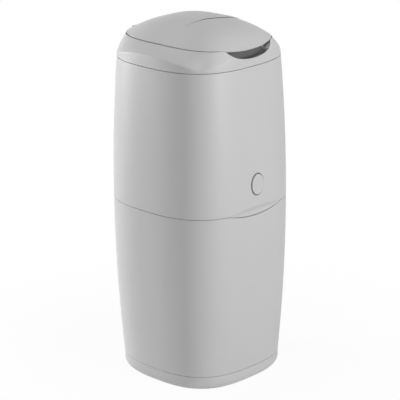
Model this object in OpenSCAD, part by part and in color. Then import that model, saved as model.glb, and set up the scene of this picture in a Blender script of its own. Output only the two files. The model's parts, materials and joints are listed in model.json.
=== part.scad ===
// Push-through nappy bin: a bucket with a plinth, a tilting head with a domed lid,
// a film cassette, two sprung jaws and a push-button latch.
// Origin: centre of the footprint on the floor. The front faces -Y, up is +Z.

/* [Body] */
// Width of the square body at the waist seam
waist_w = 239; // [225:0.5:250]
// Width of the body at the seam under the collar
collar_w = 223; // [212:0.5:232]
// Width of the body at the seam over the base ring
base_w = 220; // [210:0.5:230]
// Height of the waist seam
waist_z = 280; // [265:1:295]
// Height of the collar seam
collar_z = 500; // [490:1:520]
// Height of the base seam
base_z = 24; // [20:0.5:30]
// Squareness of the body's plan, 2 is round
body_exp = 2.8; // [2.4:0.05:3.4]
// Wall thickness of the shells
wall = 3; // [2.5:0.1:4]
// Rounding of the lower edge of the base ring
base_round = 15; // [10:0.5:20]
// Open height of the waist seam
waist_gap = 0.8; // [0.5:0.1:1.5]
// Open height of the fixed seams
seam_gap = 0.5; // [0.2:0.1:0.8]

/* [Lid and collar] */
// Width of the lid
lid_w = 167; // [163:0.5:171]
// Depth of the lid, front to back
lid_d = 210; // [206:0.5:212]
// Squareness of the lid's plan
lid_exp = 3.3; // [2.6:0.05:3.8]
// Height of the collar's shoulder, from its seam to the lid
shoulder_h = 29; // [26:0.5:34]
// Rise of the dome over its edge
dome_h = 27; // [20:0.5:32]
// Fullness of the dome
dome_exp = 3.1; // [2:0.1:4]
// Thickness of the lid's skin
lid_t = 3; // [2.5:0.1:4]
// Gap round the lid
lid_gap = 0.6; // [0.5:0.05:1]
// How far the lid's edge droops at the front
lip_drop = 4.5; // [0:0.5:6]
// How far the lid's edge stands out at the front
lip_out = 2.2; // [0:0.1:3]
// Depth of the land under the lid's edge
land_drop = 5; // [4.5:0.1:7]
// Width of the land, from the lid's edge to the throat
land_w = 14; // [13:0.5:16]

/* [Finger scoop and waist recess] */
// Width of the finger scoop under the lid
scoop_w = 100; // [60:1:110]
// Depth of the scoop below the lid's edge
scoop_h = 16.7; // [10:0.1:18]
// Width of the finger recess at the waist
recess_w = 114; // [60:1:130]
// Height of the finger recess above the waist seam
recess_up = 7.5; // [5:0.5:10]
// Depth of the finger recess
recess_d = 4; // [1:0.5:5]
// How far the waist seam dips below the recess
seam_dip = 7.5; // [0:0.5:9]

/* [Button and latch] */
// Width of the oval button hole
button_w = 27.5; // [22:0.5:32]
// Height of the oval button hole
button_h = 35; // [28:0.5:40]
// Height of the button above the waist seam
button_up = 40; // [36:1:50]
// Gap round the button
button_gap = 0.7; // [0.4:0.1:1]
// How far the button stands out
button_proud = 0.8; // [0:0.1:2]
// Travel of the button
button_travel = 5; // [3:0.5:6]
// Radius of the button's stem
stem_r = 5; // [4:0.25:6]
// Radius of the latch pin
latch_pin_r = 2; // [1.5:0.25:2.5]
// Height of the latch pin above the waist seam
latch_up = 12; // [10:0.5:16]

/* [Throat and cassette] */
// Depth of the well under the throat
well_d = 45; // [40:1:60]
// Radius of the hole in the deck
throat_r = 50; // [40:1:54]
// Outer radius of the cassette
cassette_r = 66; // [60:0.5:68]
// Inner radius of the cassette
cassette_in_r = 46; // [38:0.5:48]
// Height of the cassette tray
cassette_h = 30; // [20:1:34]
// Distance of each jaw pin from the middle
jaw_l = 50; // [46:0.5:54]
// Width of the jaws
jaw_w = 108; // [100:1:110]
// Radius of the jaw pins
jaw_pin_r = 2; // [1.5:0.25:2.5]
// Travel of the film cutter
cutter_travel = 60; // [30:1:70]

/* [Hinges, feet and screws] */
// Radius of the lid's hinge barrel
lid_barrel_r = 3.4; // [3:0.1:4]
// Radius of the lid's hinge pin
lid_pin_r = 1.5; // [1:0.1:2]
// Radius of the waist hinge barrel
waist_barrel_r = 5.5; // [5:0.1:6]
// Radius of the waist hinge pin
waist_pin_r = 2.5; // [2:0.1:3]
// Radius of each foot
foot_r = 9; // [7:0.5:11]
// Distance of each foot's middle from the base's sides
foot_in = 44; // [40:1:55]
// Radius of a screw's shank
screw_r = 1.5; // [1.25:0.05:1.75]
// Radial clearance of a pin or stem that turns or slides
run_gap = 0.05; // [0.03:0.01:0.08]
// Clearance between parts that sit together
fit = 0.3; // [0.2:0.05:0.5]

/* [Hidden] */
seg = 64;
$fn = 48;

lid_z = collar_z + shoulder_h;
land_z = lid_z - land_drop;
deck_top_z = collar_z - 2.7;
flange_t = 3;
deck_z = collar_z - well_d;
button_z = waist_z + button_up;
latch_z = waist_z + latch_up;
light_grey = [0.80, 0.80, 0.80];
inner_grey = [0.72, 0.73, 0.74];
dark_grey = [0.30, 0.31, 0.33];
steel = [0.75, 0.76, 0.78];
rubber = [0.20, 0.20, 0.22];

// ---- plan curves -------------------------------------------------------------
function plan_r(a, e) = pow(pow(abs(cos(a)), e) + pow(abs(sin(a)), e), -1 / e);
function plan_at(sx, sy, e, a) = let (r = plan_r(a, e)) [sx * r * cos(a), sy * r * sin(a)];
function angle_at(i) = 360 * i / seg;
function sq(v) = v * v;

// half width of the body at a height, bulging towards the waist
function body_half(z) = z >= waist_z
    ? waist_w / 2 - (waist_w - collar_w) / 2 * sq((z - waist_z) / (collar_z - waist_z))
    : waist_w / 2 - (waist_w - base_w) / 2 * sq((waist_z - z) / (waist_z - base_z));

// distance from the middle to the inner face of the shell, at a place along the wall
function inner_y(x, z) = let (s = body_half(z) - wall) s * pow(1 - pow(x / s, body_exp), 1 / body_exp);

// share of the finger recess at a place across the front, 1 in the middle and 0 at its tips
function recess_share(x, y) = y > 0 ? 0 : max(0, 1 - sq(2 * x / recess_w));

// depth of the finger recess: a quick step in from its upper edge, then a slow way out
function recess_at(share, z) =
    let (t = (waist_z + recess_up * share - z) / ((recess_up + seam_dip) * share + 0.01))
    t <= 0 || share == 0 ? 0
    : recess_d * share * (t < 0.5 ? sq(2 * t) * (3 - 4 * t) : 1 - 0.6 * sq(2 * min(t, 1) - 1));

// one ring of points on the body's wall, off inside its outer face
function body_ring(off, z, h) = [
    for (i = [0 : seg - 1])
        let (s = body_half(z) - off, p = plan_at(s, s, body_exp, angle_at(i)))
            [p[0], p[1], h == undef ? z : h]
];

// one ring of the wall near the waist seam, up above it, which dips with the seam at the front
function seam_ring(off, up, dish) = [
    for (i = [0 : seg - 1])
        let (
            s = body_half(waist_z + up) - off,
            p = plan_at(s, s, body_exp, angle_at(i)),
            share = recess_share(p[0], p[1]),
            z = waist_z + up - seam_dip * share * max(0, 1 - abs(up) / seam_blend)
        ) [p[0], p[1] + (dish ? recess_at(share, z) : 0), z]
];

// one ring on the lid's plan, off inside its edge
function lid_plan(off, a) = plan_at(lid_w / 2 - off, lid_d / 2 - off, lid_exp, a);
function lid_ring(off, z) = [for (i = [0 : seg - 1]) let (p = lid_plan(off, angle_at(i))) [p[0], p[1], z]];
function flat(ring) = [for (p = ring) [p[0], p[1]]];

// ---- closed surfaces from rings ----------------------------------------------
function quads(rows, wrap) = [
    for (j = [0 : rows - (wrap ? 1 : 2)], i = [0 : seg - 1])
        let (k = (j + 1) % rows, m = (i + 1) % seg)
            for (f = [[j * seg + i, k * seg + i, k * seg + m], [j * seg + i, k * seg + m, j * seg + m]]) f
];
function cap_low() = [[for (i = [0 : seg - 1]) i]];
function cap_high(rows) = [[for (i = [seg - 1 : -1 : 0]) (rows - 1) * seg + i]];

// a hollow ring: its rings run up the outside and down the inside
module tube(rings) polyhedron([for (r = rings) each r], quads(len(rings), true), convexity = 6);
// a closed cup: its rings start on the underside and end on the inner floor
module cup(rings)
    polyhedron([for (r = rings) each r],
        concat(cap_low(), quads(len(rings), false), cap_high(len(rings))), convexity = 6);

// ---- small shapes --------------------------------------------------------------
module box(lo, hi) translate(lo) cube(hi - lo);
module rod_x(r, x0, x1, y, z) translate([x0, y, z]) rotate([0, 90, 0]) cylinder(r = r, h = x1 - x0);
module rod_y(r, y0, y1, x, z) translate([x, y1, z]) rotate([90, 0, 0]) cylinder(r = r, h = y1 - y0);
module both_x() {
    children();
    mirror([1, 0, 0]) children();
}
// an oval prism along Y
module oval_y(w, h, y0, y1, z)
    translate([0, y1, z]) rotate([90, 0, 0]) linear_extrude(y1 - y0)
        polygon([for (a = [0 : 7.5 : 352.5]) [w / 2 * cos(a), h / 2 * sin(a)]]);
// a pan-head screw whose head seats at z = 0, pointing up
module screw(length) {
    translate([0, 0, -screw_head_h]) cylinder(r = screw_head_r, h = screw_head_h);
    cylinder(r = screw_r, h = length);
}
screw_head_r = 3;
screw_head_h = 1.8;
screw_free_r = screw_r + 0.3;
boss_r = 4;

// ---- base and lower shell --------------------------------------------------------
base_rim_z = base_z - seam_gap / 2;
base_low_z = 1.5;
ledge_z = 13.7;
ledge_t = 3;
ledge_w = 30;
foot_at = base_w / 2 - foot_in;
base_screw_at = base_w / 2 - 19;

function base_off(z) = z >= base_round ? 0 : base_round - sqrt(sq(base_round) - sq(base_round - z));

module base_ring() color(light_grey) {
    outer_z = [base_low_z, 2.4, 4, 6.5, 10, 14, 19, base_rim_z];
    difference() {
        union() {
            tube(concat(
                [for (z = outer_z) body_ring(base_off(z), base_z, z)],
                [
                    body_ring(wall, base_z, base_rim_z),
                    body_ring(wall, base_z, ledge_z),
                    body_ring(ledge_w, base_z, ledge_z),
                    body_ring(ledge_w, base_z, ledge_z - ledge_t),
                    body_ring(wall + 3, base_z, ledge_z - ledge_t),
                    body_ring(wall + base_off(6.5), base_z, 6.5),
                    body_ring(wall + base_off(base_low_z) - 0.5, base_z, base_low_z)
                ]));
            for (x = [-1, 1], y = [-1, 1])
                translate([x * foot_at, y * foot_at, foot_pad_h])
                    cylinder(r = foot_r, h = ledge_z - 0.5 - foot_pad_h);
        }
        for (x = [-1, 1], y = [-1, 1])
            translate([x * foot_at, y * foot_at, 0])
                cylinder(r = foot_plug_r + run_gap, h = foot_pad_h + foot_plug_h + fit);
        base_screw_places() cylinder(r = screw_free_r, h = base_z);
    }
}
foot_pad_h = 4;
foot_plug_r = 3.5;
foot_plug_h = 5;

module base_screw_places()
    for (a = [0 : 90 : 270]) rotate([0, 0, a]) translate([base_screw_at, 0, 0]) children();

module feet() color(rubber)
    for (x = [-1, 1], y = [-1, 1]) translate([x * foot_at, y * foot_at, 0]) {
        cylinder(r = foot_r, h = foot_pad_h);
        cylinder(r = foot_plug_r, h = foot_pad_h + foot_plug_h);
    }

floor_low_z = ledge_z + 0.2;
floor_t = 3;
floor_boss_h = 4;
// heights of the rows of points beside the waist seam
half_gap = waist_gap / 2;
seam_blend = 18;
seam_rows = [half_gap, 2.2, 4.4, 7, 10, 13.5, seam_blend];

module lower_shell() color(light_grey) {
    seat_z = base_z + seam_gap / 2;
    span = waist_z - seam_blend - seat_z;
    difference() {
        union() {
            cup(concat(
                [
                    body_ring(wall + 3 + fit, base_z, floor_low_z),
                    body_ring(wall + fit, base_z, floor_low_z + 3)
                ],
                [body_ring(wall + fit, base_z, seat_z)],
                [for (t = [0, 0.16, 0.35, 0.54, 0.73, 0.9]) body_ring(0, seat_z + span * t)],
                [for (k = [6, 3, 1, 0]) seam_ring(0, -seam_rows[k], false)],
                [for (k = [0, 1, 3, 6]) seam_ring(wall, -seam_rows[k], false)],
                [for (t = [0.73, 0.35, 0.06]) body_ring(wall, seat_z + span * t)],
                [
                    body_ring(wall + 4, base_z, base_z),
                    body_ring(wall + 7, base_z, floor_low_z + floor_t + 1),
                    body_ring(wall + 12, base_z, floor_low_z + floor_t)
                ]));
            base_screw_places()
                translate([0, 0, floor_low_z + floor_t - 0.5]) cylinder(r = 5, h = floor_boss_h + 0.5);
        }
        base_screw_places()
            translate([0, 0, floor_low_z - 1])
                cylinder(r = screw_r + run_gap, h = floor_t + floor_boss_h - 0.2);
        leaf_holes(waist_z - leaf_screw_z, screw_r + run_gap);
        catch_screw_places() rod_y(screw_r + run_gap, catch_y0 - 2.2, catch_y0 + 1, 0, 0);
    }
}

module base_screws() color(steel)
    base_screw_places() translate([0, 0, ledge_z - ledge_t]) screw(ledge_t + 5);

// soft ring that stands in the waist seam, on the bucket's inner rim
module waist_seal() color(rubber) {
    rows = [-seam_rows[3], -seam_rows[1], -half_gap, half_gap, seam_rows[1]];
    tube(concat(
        [for (k = [0 : 4]) seam_ring(wall + fit, rows[k], k > 2)],
        [for (k = [4 : -1 : 0]) seam_ring(wall + seal_t, rows[k], k > 2)]));
}

// ---- head shell --------------------------------------------------------------------
head_rim_z = collar_z - seam_gap / 2;
flange_z = deck_top_z - flange_t;
ledge_low_z = flange_z - 7;

module upper_shell() color(light_grey) {
    low_z = waist_z + seam_blend;
    span = head_rim_z - low_z;
    difference() {
        tube(concat(
            [for (up = seam_rows) seam_ring(0, up, true)],
            [for (t = [0.15, 0.35, 0.55, 0.75, 0.9, 1]) body_ring(0, low_z + span * t)],
            [
                body_ring(wall, head_rim_z),
                body_ring(wall, flange_z),
                body_ring(wall + 3.5, flange_z),
                body_ring(wall + 3.5, flange_z - 3),
                body_ring(wall, ledge_low_z)
            ],
            [for (t = [0.75, 0.35]) body_ring(wall, low_z + span * t)],
            [for (k = [len(seam_rows) - 1 : -1 : 0]) seam_ring(wall, seam_rows[k], true)]));
        oval_y(button_w, button_h, -waist_w / 2 - 5, -waist_w / 2 + 8, button_z);
        leaf_holes(waist_z + leaf_screw_z, screw_r + run_gap);
        latch_screw_places() rod_y(screw_r + run_gap, bracket_y0 - 2.2, bracket_y0 + 1, 0, 0);
        guide_screw_places() rod_y(screw_r + run_gap, guide_front_y - 2.2, guide_front_y + 1, 0, 0);
    }
}

// ---- collar -------------------------------------------------------------------------
// The shoulder runs from the square body to the lid's plan. The scoop lowers its top edge.
corner_exp = 1.35;
side_exp = 3;
collar_low_z = collar_z + seam_gap / 2;

function scoop_top(x, y) = y > 0 || abs(x) >= scoop_w / 2 ? lid_z
    : lid_z - scoop_h * pow(1 - sq(2 * x / scoop_w), 1.2);
function scoop_share(x, y) = (lid_z - scoop_top(x, y)) / scoop_h;

function shoulder_ring(t, off) = [
    for (i = [0 : seg - 1])
        let (
            a = angle_at(i),
            low = plan_at(collar_w / 2 - off, collar_w / 2 - off, body_exp, a),
            high = lid_plan(off - lid_gap, a),
            top = scoop_top(high[0], high[1]),
            u = t * (top - collar_low_z) / (lid_z - collar_low_z),
            w = pow(u, corner_exp + (side_exp - corner_exp) * sq(cos(2 * a))),
            p = low + (high - low) * w
        ) [p[0], p[1], collar_low_z + (lid_z - collar_low_z) * u - (t > 0 ? off * t * 0.9 : 0)]
];
// the land under the lid's edge, dished behind the scoop
function land_ring(off, dip, drop) = [
    for (i = [0 : seg - 1])
        let (p = lid_plan(off, angle_at(i)), share = scoop_share(p[0], p[1]))
            [p[0], p[1], land_z - drop - dip * share]
];
scoop_dip = scoop_h - land_drop + 2.8;
land_t = 3;
skirt_low_z = deck_top_z + 0.7;

module collar() color(light_grey) {
    difference() {
        union() {
            tube(concat(
            [for (t = [0, 0.12, 0.26, 0.42, 0.58, 0.75, 0.9, 1]) shoulder_ring(t, 0)],
            [
                land_ring(-lid_gap, scoop_dip, 0),
                land_ring(4, scoop_dip + 1.5, 0),
                land_ring(8, scoop_dip * 0.55, 0),
                land_ring(10.5, 0, 0),
                land_ring(land_w, 0, 0),
                lid_ring(land_w, skirt_low_z),
                lid_ring(land_w - 2.5, skirt_low_z),
                land_ring(land_w - 2.5, 0, land_t),
                land_ring(10, scoop_dip * 0.3, land_t),
                land_ring(5, scoop_dip + 0.5, land_t),
                land_ring(2.2, scoop_dip, 3)
            ],
            [for (t = [0.7, 0.4, 0.15]) shoulder_ring(t, wall)],
            [
                body_ring(wall + 3, collar_z, collar_low_z + 1),
                body_ring(wall + 3, collar_z, deck_top_z),
                body_ring(wall + fit, collar_z, deck_top_z),
                body_ring(wall + fit, collar_z, collar_low_z)
            ]));
            deck_screw_places() translate([0, 0, deck_top_z])
                cylinder(r = boss_r, h = land_z - land_t / 2 - deck_top_z);
        }
        deck_screw_places() translate([0, 0, deck_top_z - 1]) cylinder(r = screw_r + run_gap, h = 12);
        lid_hinge_notch();
        lid_bracket_screw_places() {
            translate([0, 0, land_z - 4]) cylinder(r = screw_free_r, h = lid_z - land_z + 4);
            translate([0, 0, land_z - land_t - screw_head_h - fit])
                cylinder(r = screw_head_r + fit, h = screw_head_h + fit);
        }
    }
}

// ---- lid hinge ------------------------------------------------------------------------
lid_axis_y = lid_d / 2 + 4.5;
lid_axis_z = lid_z - 1.5;
lid_ear_in = 14.4;
lid_ear_out = 30;
bracket_low_z = land_z + 0.2;
bracket_t = 1.6;

module lid_bracket_screw_places() for (x = [-22, 22]) translate([x, lid_d / 2 - 6, 0]) children();

module lid_hinge_notch()
    box([-lid_ear_out - fit, lid_d / 2 - 2, land_z - 0.5], [lid_ear_out + fit, collar_w, lid_z + 5]);

module lid_hinge_bracket() color(light_grey) difference() {
    union() {
        box([-lid_ear_out, lid_d / 2 - 9.5, bracket_low_z],
            [lid_ear_out, lid_d / 2 + 1, bracket_low_z + bracket_t]);
        both_x() {
            box([lid_ear_in, lid_d / 2 + lid_gap, bracket_low_z], [lid_ear_out, lid_axis_y, lid_axis_z]);
            rod_x(lid_barrel_r, lid_ear_in, lid_ear_out, lid_axis_y, lid_axis_z);
        }
    }
    rod_x(lid_pin_r + run_gap, -lid_ear_out - 1, lid_ear_out + 1, lid_axis_y, lid_axis_z);
    lid_bracket_screw_places() translate([0, 0, bracket_low_z - 1]) cylinder(r = screw_r + run_gap, h = 4);
}

module lid_hinge_pin() color(steel)
    rod_x(lid_pin_r, -lid_ear_out + 0.5, lid_ear_out - 0.5, lid_axis_y, lid_axis_z);

// ---- lid ---------------------------------------------------------------------------------
// share of the way from the lid's middle to its edge
function lid_rho(x, y) =
    pow(pow(abs(x) / (lid_w / 2), lid_exp) + pow(abs(y) / (lid_d / 2), lid_exp), 1 / lid_exp);
function dome_at(rho) = lid_z + dome_h * (1 - pow(rho, dome_exp));
function lip_at(x, y, rho) = y > 0 ? 0
    : pow(max(0, 1 - sq(2 * x / (scoop_w + 20))), 1.5) * sq(max(0, (rho - 0.75) / 0.25));

function dome_ring(rho, drop, in = 0) = [
    for (i = [0 : seg - 1])
        let (p = lid_plan(in, angle_at(i)) * rho, lip = lip_at(p[0], p[1], rho))
            [p[0], p[1] - lip_out * sq(lip), dome_at(rho) - drop - lip_drop * lip]
];

lid_boss_x = 45;
lid_boss_y = 60;
lid_boss_top_z = dome_at(lid_rho(lid_boss_x, lid_boss_y)) - lid_t / 2;
module lid_boss_places()
    for (x = [-1, 1], y = [-1, 1]) translate([x * lid_boss_x, y * lid_boss_y, 0]) children();

module lid() color(light_grey) {
    boss_low_z = liner_low_z + liner_t + fit / 2;
    difference() {
        union() {
            cup(concat(
                [for (rho = [0.08, 0.35, 0.6, 0.78, 0.9]) dome_ring(rho, lid_t)],
                [dome_ring(0.975, lid_t + 0.9, 0.3), dome_ring(1, lid_t * 0.45)],
                [for (rho = [1, 0.97, 0.92, 0.84, 0.74, 0.62, 0.48, 0.32, 0.15, 0.05]) dome_ring(rho, 0)]));
            lid_boss_places() translate([0, 0, boss_low_z])
                cylinder(r = boss_r, h = lid_boss_top_z - boss_low_z);
        }
        lid_boss_places() translate([0, 0, boss_low_z - 1]) cylinder(r = screw_r + run_gap, h = 10);
        box([-lid_ear_in + 0.1, lid_d / 2 - 6, lid_z - 10], [lid_ear_in - 0.1, lid_d, lid_z + 20]);
    }
}

module lid_hinge_arm() color(light_grey) {
    half = lid_ear_in - 0.4;
    difference() {
        union() {
            box([-half, lid_d / 2 - 5.8, lid_z - 2], [half, lid_axis_y, lid_z + 1.9]);
            translate([-half, 0, 0]) rotate([90, 0, 90]) linear_extrude(2 * half) polygon([
                [lid_d / 2 - 10.4, lid_z - 2.7],
                [lid_d / 2 - 5.7, lid_z - 2.7],
                [lid_d / 2 - 5.7, lid_z + 0.1],
                [lid_d / 2 - 10.4, dome_at(1 - 20.8 / lid_d) - lid_t - fit]
            ]);
            rod_x(lid_barrel_r, -half, half, lid_axis_y, lid_axis_z);
        }
        rod_x(lid_pin_r + run_gap, -half - 1, half + 1, lid_axis_y, lid_axis_z);
    }
}

liner_off = 16;
liner_t = 2.2;
liner_low_z = land_z - 15;
seal_t = 2.6;

// a ring that follows the lid's underside
function under_ring(off, drop) = [
    for (i = [0 : seg - 1])
        let (p = lid_plan(off, angle_at(i)), rho = lid_rho(p[0], p[1]))
            [p[0], p[1], dome_at(rho) - lip_drop * lip_at(p[0], p[1], rho) - lid_t - drop]
];

module lid_liner() color(inner_grey) {
    flange_low_z = land_z + fit + seal_t;
    difference() {
        cup([
            lid_ring(liner_off + 3, liner_low_z),
            lid_ring(liner_off + 1, liner_low_z + 2),
            lid_ring(liner_off, flange_low_z),
            lid_ring(liner_off - 5, flange_low_z),
            lid_ring(liner_off - 5, flange_low_z + 2.2),
            lid_ring(liner_off - 2, flange_low_z + 2.2),
            under_ring(liner_off - 2, fit + 0.5),
            under_ring(liner_off + liner_t - 2, fit + 0.5),
            lid_ring(liner_off + liner_t, flange_low_z + 2),
            lid_ring(liner_off + liner_t + 1, liner_low_z + 3),
            lid_ring(liner_off + liner_t + 5, liner_low_z + liner_t)
        ]);
        lid_boss_places() translate([0, 0, liner_low_z - 1]) cylinder(r = screw_free_r, h = liner_t + 2);
    }
}

module lid_seal() color(rubber) tube([
    lid_ring(liner_off - 4.8, land_z + fit),
    lid_ring(liner_off - 4.8, land_z + fit + seal_t),
    lid_ring(liner_off - 2.2, land_z + fit + seal_t),
    lid_ring(liner_off - 2.2, land_z + fit)
]);

// ---- deck, cassette and film ---------------------------------------------------------------
deck_screw_at = 74;
module deck_screw_places()
    for (x = [-1, 1], y = [-1, 1]) translate([x * deck_screw_at, y * deck_screw_at, 0]) children();

module head_deck() color(inner_grey) difference() {
    union() {
        translate([0, 0, flange_z]) linear_extrude(flange_t)
            polygon(flat(body_ring(wall + fit, flange_z)));
        translate([0, 0, deck_z - flange_t]) linear_extrude(flange_z - deck_z + flange_t + 1)
            polygon(flat(lid_ring(land_w - 2.5, 0)));
    }
    difference() {
        translate([0, 0, deck_z]) linear_extrude(well_d) polygon(flat(lid_ring(land_w, 0)));
        clamp_screw_places() translate([0, 0, deck_z - 1]) cylinder(r = boss_r, h = 5);
    }
    translate([0, 0, deck_z - flange_t - 1]) cylinder(r = throat_r, h = flange_t + 2);
    deck_screw_places() translate([0, 0, flange_z - 1]) cylinder(r = screw_free_r, h = flange_t + 2);
    clamp_screw_places() translate([0, 0, deck_z - flange_t - 1])
        cylinder(r = screw_r + run_gap, h = flange_t + 4);
}

module deck_screws() color(steel) deck_screw_places() translate([0, 0, flange_z]) screw(flange_t + 3);

tray_z = deck_z + 0.2;
module cassette_tray() color("white") translate([0, 0, tray_z]) rotate_extrude($fn = 96) polygon([
    [cassette_in_r, 0], [cassette_r, 0], [cassette_r, cassette_h], [cassette_r - 2, cassette_h],
    [cassette_r - 2, 2],
    [cassette_in_r + 2, 2],
    [cassette_in_r + 2, cassette_h * 0.45],
    [cassette_in_r, cassette_h * 0.45]
]);

// pleated film, packed as a ring of folds
module film_pack() color([0.90, 0.93, 0.95]) {
    folds = 8;
    in_r = cassette_in_r + 4;
    out_r = cassette_r - 3;
    step = (cassette_h - 5) / folds;
    translate([0, 0, tray_z + 2.2]) rotate_extrude($fn = 96) polygon(concat(
        [for (k = [0 : 2 * folds]) [out_r - (k % 2) * 1.2, k * step / 2]],
        [for (k = [2 * folds : -1 : 0]) [in_r + (k % 2) * 1.2, k * step / 2]]));
}

module cassette_cap() color("white") translate([0, 0, tray_z + cassette_h + 0.2]) difference() {
    union() {
        rotate_extrude($fn = 96) polygon([
            [cassette_in_r + 4, 0],
            [cassette_r, 0],
            [cassette_r, 1.2],
            [cassette_r - 1.3, 2.5],
            [cassette_in_r + 4, 2.5]
        ]);
        for (a = [0, 180]) rotate([0, 0, a]) translate([cassette_r - 9, -9, 2]) cube([2.5, 18, 9]);
    }
    for (a = [0, 180]) rotate([0, 0, a]) translate([cassette_r - 10, -5.5, 4]) cube([5, 11, 3.5]);
}

// ---- jaws ---------------------------------------------------------------------------------------
frame_t = 3;
jaw_z = deck_z - flange_t - 11;
jaw_t = 4;
jaw_barrel_r = 4.6;
jaw_lip_t = 2.8;
jaw_split = 0.4;
frame_x = jaw_w / 2 + 2 + frame_t;
frame_y = jaw_l + jaw_barrel_r + 1.5 + frame_t;
frame_low_z = jaw_z - 30;
frame_top_z = deck_z - flange_t - 0.2;
clamp_screw_x = frame_x - 1;
clamp_screw_y = frame_y + 5;

module clamp_screw_places()
    for (x = [-1, 1], y = [-1, 1]) translate([x * 40, y * clamp_screw_y, 0]) children();

ear_in = 8;
ear_out = 9;
frame_ear_t = 3;

module clamp_frame() color(inner_grey) difference() {
    union() {
        box([-frame_x, -frame_y, frame_low_z], [frame_x, frame_y, frame_top_z]);
        box([-frame_x + ear_in, -frame_y - ear_out, frame_top_z - frame_ear_t],
            [frame_x - ear_in, frame_y + ear_out, frame_top_z]);
    }
    box([-frame_x + frame_t, -frame_y + frame_t, frame_low_z - 1],
        [frame_x - frame_t, frame_y - frame_t, frame_top_z + 1]);
    for (y = [-jaw_l, jaw_l]) rod_x(jaw_pin_r + run_gap, -frame_x - 1, frame_x + 1, y, jaw_z);
    clamp_screw_places() translate([0, 0, frame_top_z - 4]) cylinder(r = screw_free_r, h = 5);
    for (x = [-runner_screw_x, runner_screw_x])
        rod_y(screw_r + run_gap, -frame_y - 1, -frame_y + frame_t + 1, x, cutter_z);
}

module clamp_frame_screws() color(steel)
    clamp_screw_places() translate([0, 0, frame_top_z - 3]) screw(3 + flange_t + 2.5);

module jaw_pins() color(steel)
    for (y = [-jaw_l, jaw_l]) rod_x(jaw_pin_r, -frame_x - 1.5, frame_x + 1.5, y, jaw_z);

rib_t = 3;
rib_h = 7;
spring_room = 8;

// side is -1 for the front jaw and 1 for the rear one
module jaw(side) difference() {
    union() {
        box([-jaw_w / 2, min(side * jaw_l, side * (jaw_split + jaw_lip_t)), jaw_z - jaw_t / 2],
            [jaw_w / 2, max(side * jaw_l, side * (jaw_split + jaw_lip_t)), jaw_z + jaw_t / 2]);
        rod_x(jaw_barrel_r, -jaw_w / 2, jaw_w / 2, side * jaw_l, jaw_z);
        for (x = [-30, 0, 30])
            box([x - rib_t / 2, min(side * (jaw_l - 2), side * 12), jaw_z - rib_h],
                [x + rib_t / 2, max(side * (jaw_l - 2), side * 12), jaw_z]);
    }
    rod_x(jaw_pin_r + run_gap, -jaw_w / 2 - 1, jaw_w / 2 + 1, side * jaw_l, jaw_z);
    both_x() box([jaw_w / 2 - spring_room, side * jaw_l - 6, jaw_z - 8],
        [jaw_w / 2 + 1, side * jaw_l + 6, jaw_z + 8]);
}
module jaw_lip(side) {
    near = side * jaw_split;
    far = side * (jaw_split + jaw_lip_t - 0.1);
    box([-jaw_w / 2 + 2, min(near, far), jaw_z - 4.5], [jaw_w / 2 - 2, max(near, far), jaw_z + 4.5]);
}
module jaw_front() color("white") jaw(-1);
module jaw_rear() color("white") jaw(1);
module jaw_lip_front() color(rubber) jaw_lip(-1);
module jaw_lip_rear() color(rubber) jaw_lip(1);

module coil(r, wire, turns) {
    for (k = [0 : turns - 1]) translate([0, 0, (2 * k + 1 - turns) * wire])
        rotate_extrude($fn = 36) translate([r, 0]) circle(r = wire, $fn = 16);
}

module jaw_springs() color(steel)
    for (x = [-1, 1], y = [-1, 1]) translate([x * (jaw_w / 2 - 4.2), y * jaw_l, jaw_z])
        rotate([0, 90, 0]) coil(jaw_pin_r + 1.1, 0.8, 4);

// ---- film cutter ---------------------------------------------------------------------------------
cutter_z = jaw_z - 20;
slide_half = 14;
runner_half = cutter_travel / 2 + slide_half + 4;
runner_screw_x = cutter_travel / 2;
runner_y = -frame_y - 0.2;
neck_t = 4;
neck_half = 5;
rail_t = 6.5;
rail_half = 8;

module cutter_runner() color(dark_grey) difference() {
    union() {
        box([-runner_half, runner_y - neck_t, cutter_z - neck_half],
            [runner_half, runner_y, cutter_z + neck_half]);
        box([-runner_half, runner_y - rail_t, cutter_z - rail_half],
            [runner_half, runner_y - neck_t, cutter_z + rail_half]);
    }
    for (x = [-runner_screw_x, runner_screw_x]) {
        rod_y(screw_free_r, runner_y - 8, runner_y + 1, x, cutter_z);
        rod_y(screw_head_r + 0.3, runner_y - 8, runner_y - neck_t, x, cutter_z);
    }
}

module cutter_runner_screws() color(steel) for (x = [-runner_screw_x, runner_screw_x]) {
    rod_y(screw_head_r, runner_y - neck_t - screw_head_h, runner_y - neck_t, x, cutter_z);
    rod_y(screw_r, runner_y - neck_t, runner_y + frame_t, x, cutter_z);
}

slide_x = -cutter_travel / 2;
module cutter_slide() color([0.25, 0.45, 0.65]) difference() {
    box([slide_x - slide_half, runner_y - 10, cutter_z - 14],
        [slide_x + slide_half, runner_y - 0.8, cutter_z + rail_half + 3]);
    box([slide_x - slide_half - 1, runner_y - rail_t - fit, cutter_z - rail_half - fit],
        [slide_x + slide_half + 1, runner_y - neck_t + fit, cutter_z + rail_half + fit]);
    box([slide_x - slide_half - 1, runner_y - neck_t - 1, cutter_z - neck_half - fit],
        [slide_x + slide_half + 1, runner_y, cutter_z + neck_half + fit]);
    box([slide_x - 8, runner_y - 5.2, cutter_z - 15], [slide_x + 8, runner_y - 4, cutter_z - 9.2]);
}
module cutter_blade() color(steel)
    translate([slide_x, runner_y - 4.2, 0]) rotate([90, 0, 0]) linear_extrude(0.7)
        polygon([
            [-7.5, cutter_z - 9.5],
            [7.5, cutter_z - 9.5],
            [7.5, cutter_z - 16],
            [0, cutter_z - 22],
            [-7.5, cutter_z - 16]
        ]);

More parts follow.
